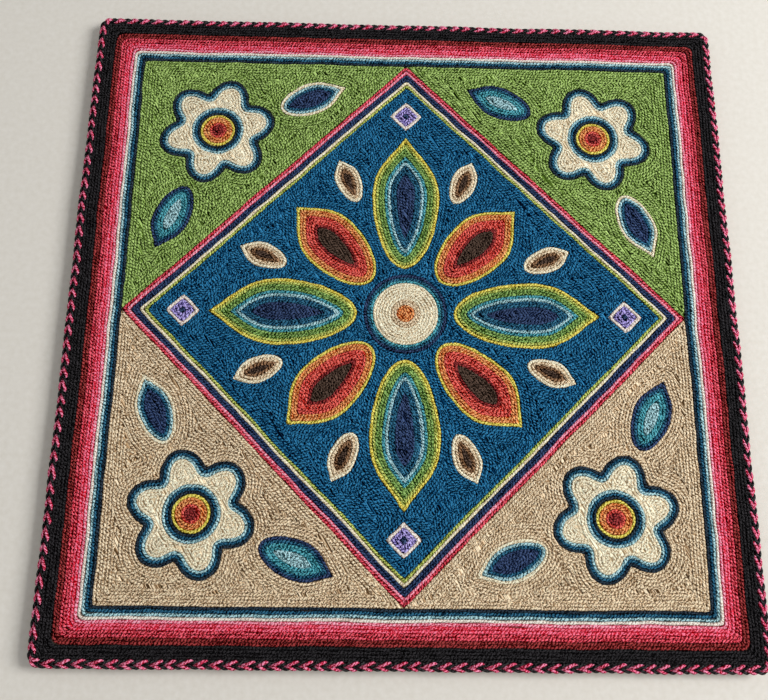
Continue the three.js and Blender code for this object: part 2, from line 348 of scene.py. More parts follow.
def yarn_material(key):
    """Plied acrylic yarn, pressed flat: slanting plies with painted highlights, some brighter than
    others, and painted shade in the grooves.
    """
    name = "acrylic_yarn_" + key
    if name in bpy.data.materials:
        return bpy.data.materials[name]
    material, tree, shader = new_material(name)
    colour = tuple(getattr(bpy.context.scene.yarn_colours, key))
    bright = 0.21 * colour[0] + 0.72 * colour[1] + 0.07 * colour[2]
    all_light, all_dark = 0.5, 0.05
    light = min(1.0, bright / all_light)
    dark = max(0.0, 1 - max(colour) / all_dark)
    # How much each thing adds to the height, which also sets the painted shade and highlights in the
    # base colour. Plies show most in mid-coloured yarn: their painted highlights sink into black and
    # glow together in white. The painted shade of the gap between two rows shows most on light yarn.
    twist = (0.85 - 0.32 * light) * (1 - 0.4 * dark)
    painted_top_light, painted_gap_shade = 0.15, -0.17 - 0.1 * light
    fibres, dye = 2.4, 0.24
    # What all of it comes to on average, and how far the tones reach to either side of that
    middle = 1.38 - 0.02 * light + 0.46 * twist
    reach = 0.23 - 0.04 * dark
    # Sizes along the strand, in millimetres, by how many plies its sides lag and crinkles shift it,
    # and how narrow the crowns of the plies are
    drift_length, crinkle_length, dye_length = 4.0, 1.0, 10.0
    fibres_per_mm = 2.2
    slant_plies, crinkle_plies = 0.38, 0.8
    crown_power = 1.4

    strand = add_node(tree, "ShaderNodeUVMap", {}, uv_map="strand")
    along = add_node(tree, "ShaderNodeSeparateXYZ", {0: strand})
    across = along.outputs[1]
    # Uneven twist
    drift = add_node(
        tree, "ShaderNodeTexNoise", {"Vector": strand, "Scale": 1 / drift_length, "Detail": 1.0})
    turn = add_node(
        tree, "ShaderNodeMath", {0: along, 1: 1 / size("ply_spacing")}, operation="MULTIPLY")
    slant = add_node(
        tree, "ShaderNodeMath", {0: across, 1: slant_plies, 2: turn}, operation="MULTIPLY_ADD")
    uneven = add_node(tree, "ShaderNodeMath", {0: drift, 1: slant}, operation="ADD")
    # Plies crinkle and cross
    crinkle = add_node(
        tree, "ShaderNodeTexNoise", {"Vector": strand, "Scale": 1 / crinkle_length, "Detail": 0.0})
    count = add_node(
        tree, "ShaderNodeMath", {0: crinkle, 1: crinkle_plies, 2: uneven}, operation="MULTIPLY_ADD")
    half_turn = add_node(tree, "ShaderNodeMath", {0: count, 1: math.pi}, operation="MULTIPLY")
    wave = add_node(tree, "ShaderNodeMath", {0: half_turn}, operation="SINE")
    crown = add_node(tree, "ShaderNodeMath", {0: wave}, operation="ABSOLUTE")
    ply = add_node(tree, "ShaderNodeMath", {0: crown, 1: crown_power}, operation="POWER")
    # Each ply gets a painted glint, brighter or dimmer at random
    number = add_node(tree, "ShaderNodeMath", {0: count}, operation="FLOOR")
    chance = add_node(tree, "ShaderNodeTexWhiteNoise", {"W": number}, noise_dimensions="1D")
    painted_glint = add_node(tree, "ShaderNodeMapRange", {"Value": chance, "To Min": 0.5, "To Max": 1.05})
    crest = add_node(tree, "ShaderNodeMath", {0: ply, 1: painted_glint}, operation="MULTIPLY")
    # Painted highlight along a row's top and painted shade where it meets the next
    out = add_node(tree, "ShaderNodeMath", {0: across, 1: across}, operation="MULTIPLY")
    gap = add_node(
        tree, "ShaderNodeMapRange",
        {"Value": out, "From Min": 0.1, "From Max": 0.9, "To Min": painted_top_light, "To Max": painted_gap_shade})
    plied = add_node(
        tree, "ShaderNodeMath", {0: crest, 1: twist, 2: gap}, operation="MULTIPLY_ADD")
    # Loose fibres as painted specks of light and shade, about 0.4 mm across; they also go into the bump
    specks = add_node(
        tree, "ShaderNodeMapping", {"Vector": strand, "Scale": (fibres_per_mm, fibres_per_mm, 1.0)})
    fibre = add_node(
        tree, "ShaderNodeTexNoise",
        {"Vector": specks, "Scale": 1.0, "Detail": 1.0, "Roughness": 0.5})
    fuzzy = add_node(
        tree, "ShaderNodeMath", {0: fibre, 1: fibres, 2: plied}, operation="MULTIPLY_ADD")
    # Dye and handling vary along a row
    length = add_node(
        tree, "ShaderNodeMapping", {"Vector": strand, "Scale": (1 / dye_length, 0.0, 0.0)})
    patch = add_node(tree, "ShaderNodeTexNoise", {"Vector": length, "Scale": 1.0, "Detail": 2.0})
    shade = add_node(tree, "ShaderNodeMath", {0: patch, 1: dye, 2: fuzzy}, operation="MULTIPLY_ADD")
    spread = add_node(
        tree, "ShaderNodeMapRange",
        {"Value": shade, "From Min": middle - reach, "From Max": middle + reach})
    # Base colour: painted groove shade in the low tones, painted crest highlights and sheen in the high
    # ones
    tones = add_node(tree, "ShaderNodeValToRGB", {0: spread}, stops=painted_shade_and_highlight_tones(colour, bright))
    raised = add_node(
        tree, "ShaderNodeBump", {"Height": fuzzy, "Strength": 1.0, "Distance": 0.3 * MM})
    # Smooth fibre ends on the crests, fuzz in the grooves
    fuzz = add_node(tree, "ShaderNodeMapRange", {"Value": spread, "To Min": 0.95, "To Max": 0.7})
    set_inputs(tree, shader, {
        "Base Color": tones, "Normal": raised, "Roughness": fuzz, "Specular IOR Level": 0.02})
    return material


def deselect_all():
    """Leaves nothing selected."""
    bpy.ops.object.select_all(action="DESELECT")


def make_active(obj):
    """Makes an object the active one, and the only one selected."""
    deselect_all()
    obj.select_set(True)
    bpy.context.view_layer.objects.active = obj


def new_object(name, data):
    """A new object in the scene."""
    obj = bpy.data.objects.new(name, data)
    bpy.context.scene.collection.objects.link(obj)
    return obj


def as_mesh(name, curve):
    """A curve as a new mesh object, which is then the active one."""
    make_active(new_object(name, curve))
    bpy.ops.object.convert(target="MESH")
    return bpy.context.view_layer.objects.active


def edit_merged():
    """Opens the active object in edit mode, all of it selected and its doubles merged."""
    bpy.ops.object.mode_set(mode="EDIT")
    bpy.ops.mesh.select_all(action="SELECT")
    bpy.ops.mesh.remove_doubles(threshold=MERGE * MM)


def vertex_places(mesh):
    """Places of a mesh's vertices, in metres."""
    places = np.empty(len(mesh.vertices) * 3)
    mesh.vertices.foreach_get("co", places)
    return places.reshape(-1, 3)


def closed_runs(follow):
    """Closed runs of a dictionary in which each key leads to the next. Empties it."""
    runs = []
    while follow:
        start, point = follow.popitem()
        run = [start]
        while point != start:
            run.append(point)
            point = follow.pop(point)
        runs.append(np.array(run))
    return runs


def solid_loops(node):
    """Outlines of a field's widest section: the outer one anticlockwise, holes clockwise."""
    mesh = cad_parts[node].data
    corners = np.empty(len(mesh.polygons) * 3, dtype=int)
    mesh.polygons.foreach_get("vertices", corners)
    triangles = (vertex_places(mesh) / MM)[corners.reshape(-1, 3)]
    normals = np.cross(triangles[:, 1] - triangles[:, 0], triangles[:, 2] - triangles[:, 0])
    upright = np.abs(normals[:, 2]) < 1e-3 * np.linalg.norm(normals, axis=1)
    walls = triangles[upright]
    low = walls[:, :, 2].min()
    follow = {}
    for wall in walls:
        for i in range(3):
            a, b = wall[i], wall[(i + 1) % 3]
            if abs(a[2] - low) < LEVEL and abs(b[2] - low) < LEVEL:
                follow[tuple(np.round(a[:2], 3))] = tuple(np.round(b[:2], 3))
    return closed_runs(follow)


def smooth_loop(loop):
    """A faceted outline as a smooth one through the same points. Sharp corners stay sharp."""
    count = len(loop)
    before = loop - np.roll(loop, 1, axis=0)
    after = np.roll(loop, -1, axis=0) - loop
    cosine = (before * after).sum(1)
    cosine = cosine / np.linalg.norm(before, axis=1) / np.linalg.norm(after, axis=1)
    sharp = np.degrees(np.arccos(np.clip(cosine, -1, 1))) > SHARP_CORNER
    points = []
    for i in range(count):
        p1, p2 = loop[i], loop[(i + 1) % count]
        p0 = 2 * p1 - p2 if sharp[i] else loop[i - 1]
        p3 = 2 * p2 - p1 if sharp[(i + 1) % count] else loop[(i + 2) % count]
        span = np.linalg.norm(p2 - p1)
        # Tangents are scaled by the span, so that a long side next to a short one doesn't overshoot
        t1 = (p2 - p0) * span / (span + np.linalg.norm(p1 - p0))
        t2 = (p3 - p1) * span / (span + np.linalg.norm(p3 - p2))
        steps = max(1, round(span / OUTLINE_STEP))
        t = np.arange(steps)[:, None] / steps
        points.append(
            (2 * t**3 - 3 * t**2 + 1) * p1 + (t**3 - 2 * t**2 + t) * t1
            + (3 * t**2 - 2 * t**3) * p2 + (t**3 - t**2) * t2)
    return np.concatenate(points)


def inside_distance(loops):
    """Distance to the outlines on a grid, positive inside: (grid, lowest corner)."""
    every = np.concatenate(loops)
    rim = 2 * GRID_SPACING
    low = every.min(0) - rim
    columns, rows = np.ceil((every.max(0) + rim - low) / GRID_SPACING).astype(int) + 1
    x = low[0] + GRID_SPACING * np.arange(columns)
    y = low[1] + GRID_SPACING * np.arange(rows)
    away = np.full((rows, columns), GRID_REACH, dtype=float)
    inside = np.zeros((rows, columns), dtype=bool)
    for loop in loops:
        for a, b in zip(loop, np.roll(loop, -1, axis=0)):
            (left, bottom), (right, top) = np.minimum(a, b), np.maximum(a, b)
            first, last = np.searchsorted(y, (bottom, top))
            if last > first:
                cross = a[0] + (y[first:last] - a[1]) / (b[1] - a[1]) * (b[0] - a[0])
                inside[first:last] ^= x[None, :] > cross[:, None]
            i0, i1 = np.searchsorted(y, (bottom - GRID_REACH, top + GRID_REACH))
            j0, j1 = np.searchsorted(x, (left - GRID_REACH, right + GRID_REACH))
            px, py = x[None, j0:j1] - a[0], y[i0:i1, None] - a[1]
            side = b - a
            share = np.clip((px * side[0] + py * side[1]) / max(side @ side, 1e-12), 0, 1)
            near = np.hypot(px - share * side[0], py - share * side[1])
            away[i0:i1, j0:j1] = np.minimum(away[i0:i1, j0:j1], near)
    return np.where(inside, away, -away), low


def contours(grid, low, level):
    """Closed lines where the grid crosses a level, with the higher side on the left."""
    rows, columns = grid.shape
    high = grid > level
    case = high[:-1, :-1] + 2 * high[:-1, 1:] + 4 * high[1:, 1:] + 8 * high[1:, :-1]
    cells = np.arange(rows - 1)[:, None] * columns + np.arange(columns - 1)[None, :]
    # Level edges of the cells are numbered first, upright ones after them
    sides = {
        "bottom": cells, "top": cells + columns,
        "left": cells + grid.size, "right": cells + grid.size + 1,
    }
    ways = {
        1: ["bottom left"], 2: ["right bottom"], 3: ["right left"], 4: ["top right"],
        5: ["bottom left", "top right"], 6: ["top bottom"], 7: ["top left"],
        8: ["left top"], 9: ["bottom top"], 10: ["right bottom", "left top"],
        11: ["right top"], 12: ["left right"], 13: ["bottom right"], 14: ["left bottom"],
    }
    follow = {}
    for number, through in ways.items():
        here = case == number
        for way in through:
            start, end = way.split()
            follow.update(zip(sides[start][here].tolist(), sides[end][here].tolist()))
    flat = grid.ravel()
    lines = []
    for edges in closed_runs(follow):
        upright = edges >= grid.size
        corner = np.where(upright, edges - grid.size, edges)
        other = corner + np.where(upright, columns, 1)
        share = (level - flat[corner]) / (flat[other] - flat[corner])
        i, j = np.divmod(corner, columns)
        x = low[0] + GRID_SPACING * (j + np.where(upright, 0, share))
        y = low[1] + GRID_SPACING * (i + np.where(upright, share, 0))
        lines.append(np.stack([x, y], axis=1))
    return lines


def distance_run(line):
    """Distance along a closed line to each of its points, and back to the first."""
    closed = np.concatenate([line, line[:1]])
    return np.concatenate([[0], np.cumsum(np.linalg.norm(np.diff(closed, axis=0), axis=1))])


def evenly_spaced(line, step):
    """A closed line with points a steady step apart, eight at least."""
    closed = np.concatenate([line, line[:1]])
    run = distance_run(line)
    count = max(8, round(run[-1] / step))
    at = np.arange(count) * run[-1] / count
    return np.stack([np.interp(at, run, closed[:, k]) for k in (0, 1)], axis=1)


def softened(line, passes):
    """A closed line with its small kinks eased, as yarn takes a bend."""
    for _ in range(passes):
        line = 0.5 * line + 0.25 * (np.roll(line, 1, axis=0) + np.roll(line, -1, axis=0))
    return line


def hand_laid(points):
    """Small drifts of the hand, the same for neighbouring rows, so that they stay side by side."""
    rng = np.random.default_rng(DRIFT_SEED)
    moved = points.copy()
    for _ in range(DRIFT_COUNT):
        angle, phase, turn = rng.uniform(0, 2 * math.pi, 3)
        length, reach = rng.uniform(*DRIFT_LENGTH), rng.uniform(*DRIFT_REACH)
        ahead = points[:, 0] * math.cos(angle) + points[:, 1] * math.sin(angle)
        wave = np.sin(ahead * 2 * math.pi / length + phase)
        moved = moved + reach * wave[:, None] * np.array([math.cos(turn), math.sin(turn)])
    return moved


def yarn_at(plan, index):
    """The yarn of a row, counted from the outline inwards."""
    for yarn, rows in plan:
        if index < rows:
            return yarn
        index -= rows
    return plan[-1][0]


def field_rows(node, plan, fitted):
    """Rows that follow a field's outlines until it is full: ([(line, yarn)], pitch, beds).

    Fitted rows share a motif's depth evenly. The beds are (yarn, lines), one for each inner colour.
    """
    grid, low = inside_distance([smooth_loop(loop) for loop in solid_loops(node)])
    half_gap = size("field_gap") / 2
    pitch = size("row_pitch")
    deepest = grid.max() + half_gap
    if fitted:
        pitch = deepest / max(1, round(deepest / pitch))
    rows = []
    index = 0
    while (index + 0.5) * pitch < deepest - DEEPEST_ROOM:
        for line in contours(grid, low, (index + 0.5) * pitch - half_gap):
            if np.linalg.norm(np.diff(line, axis=0), axis=1).sum() > SHORTEST_ROW:
                laid = softened(evenly_spaced(line, size("step")), ROW_EASING)
                rows.append((laid, yarn_at(plan, index)))
        index += 1
    beds = []
    before = 0
    for (_, count), (yarn, _) in zip(plan, plan[1:]):
        before += count
        lines = contours(grid, low, before * pitch - half_gap + BED_INSET)
        beds.append((yarn, [evenly_spaced(line, BED_STEP) for line in lines]))
    return rows, pitch, beds


def rounded_square(half, radius):
    """A square line with rounded corners, anticlockwise."""
    arc = np.linspace(0, math.pi / 2, TURN_POINTS)
    corner = half - radius + radius * np.stack([np.cos(arc), np.sin(arc)], axis=1)
    quarter_turn = np.array([[0.0, -1.0], [1.0, 0.0]])
    corners = [corner]
    for _ in range(3):
        corners.append(corners[-1] @ quarter_turn.T)
    return evenly_spaced(np.concatenate(corners), STRIPE_STEP)


def border_turn(inset):
    """Corner radius of a border row: wider from the inside out, until the board's own corner."""
    stripes = ("border_black", "border_maroon", "border_ink")
    outside, coloured, inside = (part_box(node)[1].x / MM for node in stripes)
    insets = [0.0, outside - coloured, outside - inside]
    return float(np.interp(inset, insets, [BOARD_TURN, BORDER_TURN, PICTURE_TURN]))


def stripe_rows(node):
    """Rows of a striped frame: ([(line, yarn)], pitch, no beds)."""
    yarn, count = STRIPE_ROWS[node]
    diagonal = node.startswith("diamond")
    pitch = size("row_pitch")
    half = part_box(node)[1].x / MM + size("field_gap") / 2
    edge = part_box("border_black")[1].x / MM
    if diagonal:
        half = half / math.sqrt(2) + TIP_LOSS
    rows = []
    for index in range(count):
        centre = half - (index + 0.5) * pitch
        radius = DIAMOND_TURN if diagonal else border_turn(edge - centre)
        line = rounded_square(centre, radius)
        if diagonal:
            line = line @ np.array([[1, 1], [-1, 1]]) / math.sqrt(2)
        rows.append((line, yarn))
    if node == "border_black":
        # One more row, pressed down over the edge of the board and under the cord
        rows.append((rounded_square(half + OVERHANG, BOARD_TURN + OVERHANG), yarn))
    return rows, pitch, []


def closed_spline(data, points):
    """Adds a closed line to a curve, through flat points or points with a height."""
    spline = data.splines.new("POLY")
    spline.points.add(len(points) - 1)
    places = np.zeros((len(points), 4))
    places[:, :len(points[0])] = points
    places[:, 3] = 1.0
    spline.points.foreach_set("co", places.ravel())
    spline.use_cyclic_u = True
    return spline


def sweep(name, section, paths, materials, slots, radii):
    """Sweeps a section along closed paths and makes the result a mesh."""
    outline = bpy.data.curves.new(name + "_section", "CURVE")
    outline.dimensions = "2D"
    closed_spline(outline, section)
    profile = new_object(name + "_section", outline)
    data = bpy.data.curves.new(name, "CURVE")
    data.dimensions = "3D"
    data.twist_mode = "Z_UP"
    data.bevel_mode = "OBJECT"
    data.bevel_object = profile
    for material in materials:
        data.materials.append(material)
    for path, slot, radius in zip(paths, slots, radii):
        spline = closed_spline(data, path)
        spline.points.foreach_set("radius", radius)
        spline.use_smooth = True
        spline.material_index = slot
    swept = as_mesh(name, data)
    bpy.data.objects.remove(profile)
    bpy.data.curves.remove(outline)
    return swept


def set_maps(mesh, strand, plan):
    """Gives a mesh its two UV maps: strand, for the yarn's pattern, and OFBake, for baking."""
    for layer in list(mesh.uv_layers):
        mesh.uv_layers.remove(layer)
    for name, values in (("strand", strand), ("OFBake", plan)):
        layer = mesh.uv_layers.new(name=name)
        layer.uv.foreach_set("vector", values.astype(np.float32).ravel())


def strand_maps(obj, paths, section, width, box, rng):
    """UV maps of swept rows. The strand map is in millimetres along a row and -1 to 1 across it.

    The baking map is a plan of the rows inside box, or without a box, rows cut into equal lengths and
    laid side by side.
    """
    sides = len(section)
    spacing = size("ply_spacing")
    across = np.array([p[0] for p in section])
    across = across / np.abs(across).max()
    unrolled = np.linspace(-0.5, 0.5, sides)
    around = np.linspace(STRIP_EDGE, 1 - STRIP_EDGE, sides + 1)
    runs = [distance_run(path) / MM for path in paths]
    girth = sum(math.dist(a, b) for a, b in zip(section, section[1:] + section[:1])) / MM
    longest = math.sqrt(STRIP_BREADTH * girth * sum(run[-1] for run in runs))
    cuts = [math.ceil(run[-1] / longest) for run in runs]
    strip = 0
    strand, plan = [], []
    for path, run, pieces in zip(paths, runs, cuts):
        count = len(path)
        step, side = np.meshgrid(np.arange(count), np.arange(sides), indexing="ij")
        corner_steps = np.stack([step, step + 1, step + 1, step], axis=2)
        corner_sides = np.stack([side, side, side - 1, side - 1], axis=2)
        if box:
            ahead = np.roll(path, -1, axis=0) - np.roll(path, 1, axis=0)
            ahead /= np.linalg.norm(ahead[:, :2], axis=1)[:, None]
            right = np.stack([ahead[:, 1], -ahead[:, 0]], axis=1)
            spread = path[:, None, :2] + right[:, None, :] * unrolled[None, :, None] * width
            spread = (np.concatenate([spread, spread[:1]]) - box[0]) / box[1]
            plan.append(spread[corner_steps, corner_sides].reshape(-1, 2))
        else:
            starts = np.linspace(0, count, pieces + 1).round().astype(int)
            piece = np.searchsorted(starts, np.arange(count), side="right") - 1
            reach = (run[corner_steps] - run[starts[piece]][:, None, None]) / longest
            reach = BAKE_EDGE + (1 - 2 * BAKE_EDGE) * reach / STRIP_LENGTH
            turned = around[np.where(side[..., None] == 0, sides, 0) + corner_sides]
            level = (strip + piece[:, None, None] + turned) / sum(cuts)
            plan.append(np.stack([reach, level], axis=3).reshape(-1, 2))
            strip += pieces
        # A whole number of plies in each closed row, at a start of its own
        plies = max(1, round(run[-1] / spacing * rng.uniform(*TWIST_RANGE)))
        start = spacing * rng.integers(0, START_PLIES) + rng.uniform(0, spacing)
        wound = run * plies * spacing / run[-1] + start
        strand.append(np.stack([wound[corner_steps], across[corner_sides]], axis=3).reshape(-1, 2))
    set_maps(obj.data, np.concatenate(strand), np.concatenate(plan))


def flat_maps(obj, box):
    """The same UV maps for a bed: its yarn runs aslant and shows the side of a row."""
    mesh = obj.data
    # The bed takes the tone part way down a row's side, where the painted shade between rows has begun
    slanting, row_side = (1.0, 0.6), 0.55
    corners = np.empty(len(mesh.loops), dtype=int)
    mesh.loops.foreach_get("vertex_index", corners)
    places = vertex_places(mesh)[corners, :2]
    strand = np.column_stack([places @ slanting / MM, np.full(len(places), row_side)])
    set_maps(mesh, strand, (places - box[0]) / box[1])


def field_bed(node, material, box):
    """A low bed of the outermost yarn under a whole field, so that no bare wax shows in the gaps."""
    bed = new_object("bed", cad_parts[node].data.copy())
    make_active(bed)
    bed.data.materials.clear()
    bed.data.materials.append(material)
    edit_merged()
    bpy.ops.transform.resize(
        value=(1.0, 1.0, FIELD_BED_TOP), center_override=(0.0, 0.0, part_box(node)[0].z))
    bpy.ops.object.mode_set(mode="OBJECT")
    flat_maps(bed, box)
    return bed


def inner_bed(loops, material, bottom, top, box):
    """A low bed under the rows of one colour, inside the rows of the colour before."""
    data = bpy.data.curves.new("bed", "CURVE")
    data.dimensions = "2D"
    data.fill_mode = "BOTH"
    data.extrude = (top - bottom) / 2
    data.materials.append(material)
    for loop in loops:
        closed_spline(data, hand_laid(loop) * MM)
    bed = as_mesh("bed", data)
    edit_merged()
    bpy.ops.mesh.normals_make_consistent(inside=False)
    bpy.ops.transform.translate(value=(0.0, 0.0, (top + bottom) / 2))
    bpy.ops.object.mode_set(mode="OBJECT")
    flat_maps(bed, box)
    return bed


def lay_yarn(node, rows, pitch, beds):
    """Rows of pressed yarn in place of a solid field."""
    rng = np.random.default_rng(sum(map(ord, node)))
    yarns = sorted({yarn for _, yarn in rows})
    materials = [yarn_material(yarn) for yarn in yarns]
    wax_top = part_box(node)[0].z
    wax_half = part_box("wax_bed")[1].x / MM
    height = size("row_height") * MM
    section = [(ROW_OVERLAP * pitch * MM * a, height * h) for a, h in ROW_SECTION]
    paths, slots, radii = [], [], []
    for line, yarn in rows:
        wander = softened(rng.normal(0.0, WANDER, (len(line), 3)), WANDER_EASING)
        flat = (hand_laid(line) + wander[:, :2]) * MM
        over_edge = np.abs(line).max() > wax_half
        press = PRESS_OVER_EDGE if over_edge else PRESS_LEAST + PRESS_RANGE * rng.random()
        press = press + np.clip(PRESS_WANDER * wander[:, 2:], *PRESS_LIMITS)
        paths.append(np.hstack([flat, wax_top - press * MM]))
        slots.append(yarns.index(yarn))
        swell = softened(rng.uniform(*SWELL, len(line)), SWELL_EASING)
        radii.append(swell.astype(np.float32))
    corner_low, corner_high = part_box(node)
    low = np.array(corner_low[:2]) - BAKE_ROOM * MM
    box = (low, max(np.array(corner_high[:2]) + BAKE_ROOM * MM - low))
    laid = sweep("yarn_" + node, section, paths, materials, slots, radii)
    strand_maps(laid, paths, section, pitch * MM, None if node in STRIPE_ROWS else box, rng)
    bed = field_bed(node, yarn_material(rows[0][1]), box)
    pieces = [laid]
    for level, (yarn, loops) in enumerate(beds):
        if loops:
            bottom = wax_top + BED_UNDERSIDE * height
            top = wax_top + (INNER_BED_TOP + INNER_BED_RISE * level) * height
            pieces.append(inner_bed(loops, yarn_material(yarn), bottom, top, box))
    make_active(bed)
    for piece in pieces:
        piece.select_set(True)
    # The rows give up their name to the joined piece
    laid.name = "rows"
    bpy.ops.object.join()
    bed.name = "yarn_" + node
    bed.data.name = bed.name
    bpy.ops.object.shade_smooth_by_angle(angle=math.radians(SMOOTH_ANGLE))
    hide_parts(node)
    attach(bed, "root")


def lay_motif(node, plan_name, fitted=True):
    """Fills one field with rows, by a plan of MOTIF_ROWS."""
    lay_yarn(node, *field_rows(node, MOTIF_ROWS[plan_name], fitted))


def finish_node(node, material):
    """Gives a solid its finish."""
    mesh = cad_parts[node].data
    mesh.materials.clear()
    mesh.materials.append(material)


class PAINTING_OT_plywood_board(bpy.types.Operator):
    """Gives the board its bare plywood: rotary-cut veneer on the back, plies along the edges"""

    bl_idname = "painting.plywood_board"
    bl_label = "Plywood board"

    def execute(self, context):
        # Sanded poplar: warm and dull, with soft dark streaks between hard pale ones
        material, tree, shader = new_material("poplar_plywood")
        # Per metre, along the grain and across it: streaks are about 4 mm apart, pores about 0.4 mm
        streaks, pores = (12.0, 250.0, 250.0), (120.0, 2600.0, 2600.0)
        # Five plies in the 6 mm board
        two_plies = 2.4 * MM
        pore_share, ply_wobble = 0.35, 0.9
        darkest, palest = 0.45, 0.85
        place = add_node(tree, "ShaderNodeTexCoord", {}).outputs["Object"]
        long = add_node(tree, "ShaderNodeMapping", {"Vector": place, "Scale": streaks})
        grain = add_node(
            tree, "ShaderNodeTexNoise",
            {"Vector": long, "Scale": 1.0, "Detail": 6.0, "Distortion": 0.6})
        short = add_node(tree, "ShaderNodeMapping", {"Vector": place, "Scale": pores})
        fine = add_node(tree, "ShaderNodeTexNoise", {"Vector": short, "Scale": 1.0, "Detail": 3.0})
        figure = add_node(
            tree, "ShaderNodeMath", {0: fine, 1: pore_share, 2: grain}, operation="MULTIPLY_ADD")
        veneer = add_node(
            tree, "ShaderNodeValToRGB", {0: figure},
            stops=((darkest, to_linear("#9a7143")), (palest, to_linear("#d8b98a"))))
        height = add_node(tree, "ShaderNodeSeparateXYZ", {0: place}).outputs[2]
        layers = add_node(
            tree, "ShaderNodeMath", {0: height, 1: 2 * math.pi / two_plies}, operation="MULTIPLY")
        band = add_node(tree, "ShaderNodeMath", {0: layers}, operation="SINE")
        rough_band = add_node(
            tree, "ShaderNodeMath", {0: fine, 1: ply_wobble, 2: band}, operation="MULTIPLY_ADD")
        plies = add_node(
            tree, "ShaderNodeValToRGB", {0: rough_band},
            stops=((0.25, to_linear("#7d5630")), (0.60, to_linear("#c7a06b"))))
        normal = add_node(tree, "ShaderNodeNewGeometry", {}).outputs["Normal"]
        facing = add_node(tree, "ShaderNodeSeparateXYZ", {0: normal}).outputs[2]
        flat = add_node(tree, "ShaderNodeMath", {0: facing}, operation="ABSOLUTE")
        # Inputs 6 and 7 and output 2 are its colours
        both = add_node(
            tree, "ShaderNodeMix", {0: flat, 6: plies, 7: veneer}, data_type="RGBA")
        raised = add_node(
            tree, "ShaderNodeBump", {"Height": figure, "Strength": 0.35, "Distance": 0.25 * MM})
        # Hard, pale streaks are smoother than the soft, dark ones
        sanded = add_node(
            tree, "ShaderNodeMapRange",
            {"Value": figure, "From Min": darkest, "From Max": palest, "To Min": 0.8, "To Max": 0.6})
        set_inputs(tree, shader, {
            "Base Color": both.outputs[2], "Normal": raised, "Roughness": sanded})
        finish_node("plywood_board", material)
        return {"FINISHED"}


class PAINTING_OT_wax_bed(bpy.types.Operator):
    """Gives the coat of wax its brown, dull, hand-spread look"""

    bl_idname = "painting.wax_bed"
    bl_label = "Wax bed"

    def execute(self, context):
        # Wax spread by thumb: soft brown ripples, polished on their high spots
        material, tree, shader = new_material("beeswax_and_resin")
        ripple_length = 8 * MM
        low, high = 0.3, 0.7
        place = add_node(tree, "ShaderNodeTexCoord", {}).outputs["Object"]
        ripple = add_node(
            tree, "ShaderNodeTexNoise",
            {"Vector": place, "Scale": 1 / ripple_length, "Detail": 4.0})
        tones = add_node(
            tree, "ShaderNodeValToRGB", {0: ripple},
            stops=((low, to_linear("#2c1c0f")), (high, to_linear("#5a3d1e"))))
        raised = add_node(
            tree, "ShaderNodeBump", {"Height": ripple, "Strength": 0.4, "Distance": 0.2 * MM})
        rubbed = add_node(
            tree, "ShaderNodeMapRange",
            {"Value": ripple, "From Min": low, "From Max": high, "To Min": 0.75, "To Max": 0.5})
        set_inputs(tree, shader, {"Base Color": tones, "Normal": raised, "Roughness": rubbed})
        finish_node("wax_bed", material)
        return {"FINISHED"}


class PAINTING_OT_stripes(bpy.types.Operator):
    """Lays the rows of the striped border and of the stripes round the diamond"""

    bl_idname = "painting.stripes"
    bl_label = "Stripes"

    def execute(self, context):
        for node in STRIPE_ROWS:
            lay_yarn(node, *stripe_rows(node))
        return {"FINISHED"}


class PAINTING_OT_grounds(bpy.types.Operator):
    """Fills the blue diamond and the four corner grounds with rows that follow their outlines"""

    bl_idname = "painting.grounds"
    bl_label = "Grounds"

    def execute(self, context):
        lay_motif("diamond_ground", "diamond_ground", fitted=False)
        for corner, yarn in zip(CORNERS, ("green", "green", "tan", "tan")):
            lay_motif("spandrel_ground_" + corner, "spandrel_ground_" + yarn, fitted=False)
        return {"FINISHED"}


class PAINTING_OT_rosette(bpy.types.Operator):
    """Lays the petals, drops, buds and coiled middle of the rosette"""

    bl_idname = "painting.rosette"
    bl_label = "Rosette"

    def execute(self, context):
        lay_motif("heart_disc", "heart_disc")
        for side in SIDES:
            lay_motif("long_petal_" + side, "long_petal")
            lay_motif("tip_bud_" + side, "tip_bud")
        for corner in CORNERS:
            lay_motif("flame_petal_" + corner, "flame_petal")
            lay_motif("seed_drop_" + corner + "_a", "seed_drop")
            lay_motif("seed_drop_" + corner + "_b", "seed_drop")
        return {"FINISHED"}


class PAINTING_OT_corner_motifs(bpy.types.Operator):
    """Lays the flowers and leaves of the corner grounds"""

    bl_idname = "painting.corner_motifs"
    bl_label = "Corner flowers and leaves"

    def execute(self, context):
        for corner in CORNERS:
            lay_motif("corner_flower_" + corner, "corner_flower")
            lay_motif("corner_flower_heart_" + corner, "corner_flower_heart")
            lay_motif("corner_leaf_" + corner + "_a", "corner_leaf_a")
            lay_motif("corner_leaf_" + corner + "_b", "corner_leaf_b")
        return {"FINISHED"}


def edge_course(core, straight, arc, steps):
    """Steps round the board, clockwise from above: (distance run, place on the core, way outward).

    It starts at the bottom right corner and runs along the bottom edge to the left first.
    """
    run = np.arange(steps) * 4 * (straight + arc) / steps
    quarter, within = np.divmod(run, straight + arc)
    on_arc = np.clip((within - straight) / arc, 0, 1)
    heading = -math.pi / 2 - (quarter + on_arc) * math.pi / 2
    outward = np.stack([np.cos(heading), np.sin(heading)], axis=1)
    facing = -math.pi / 2 - quarter * math.pi / 2
    side_normal = np.stack([np.cos(facing), np.sin(facing)], axis=1)
    side_way = np.stack([side_normal[:, 1], -side_normal[:, 0]], axis=1)
    base = core * side_normal + (np.minimum(within, straight) - core)[:, None] * side_way
    return run, base, outward


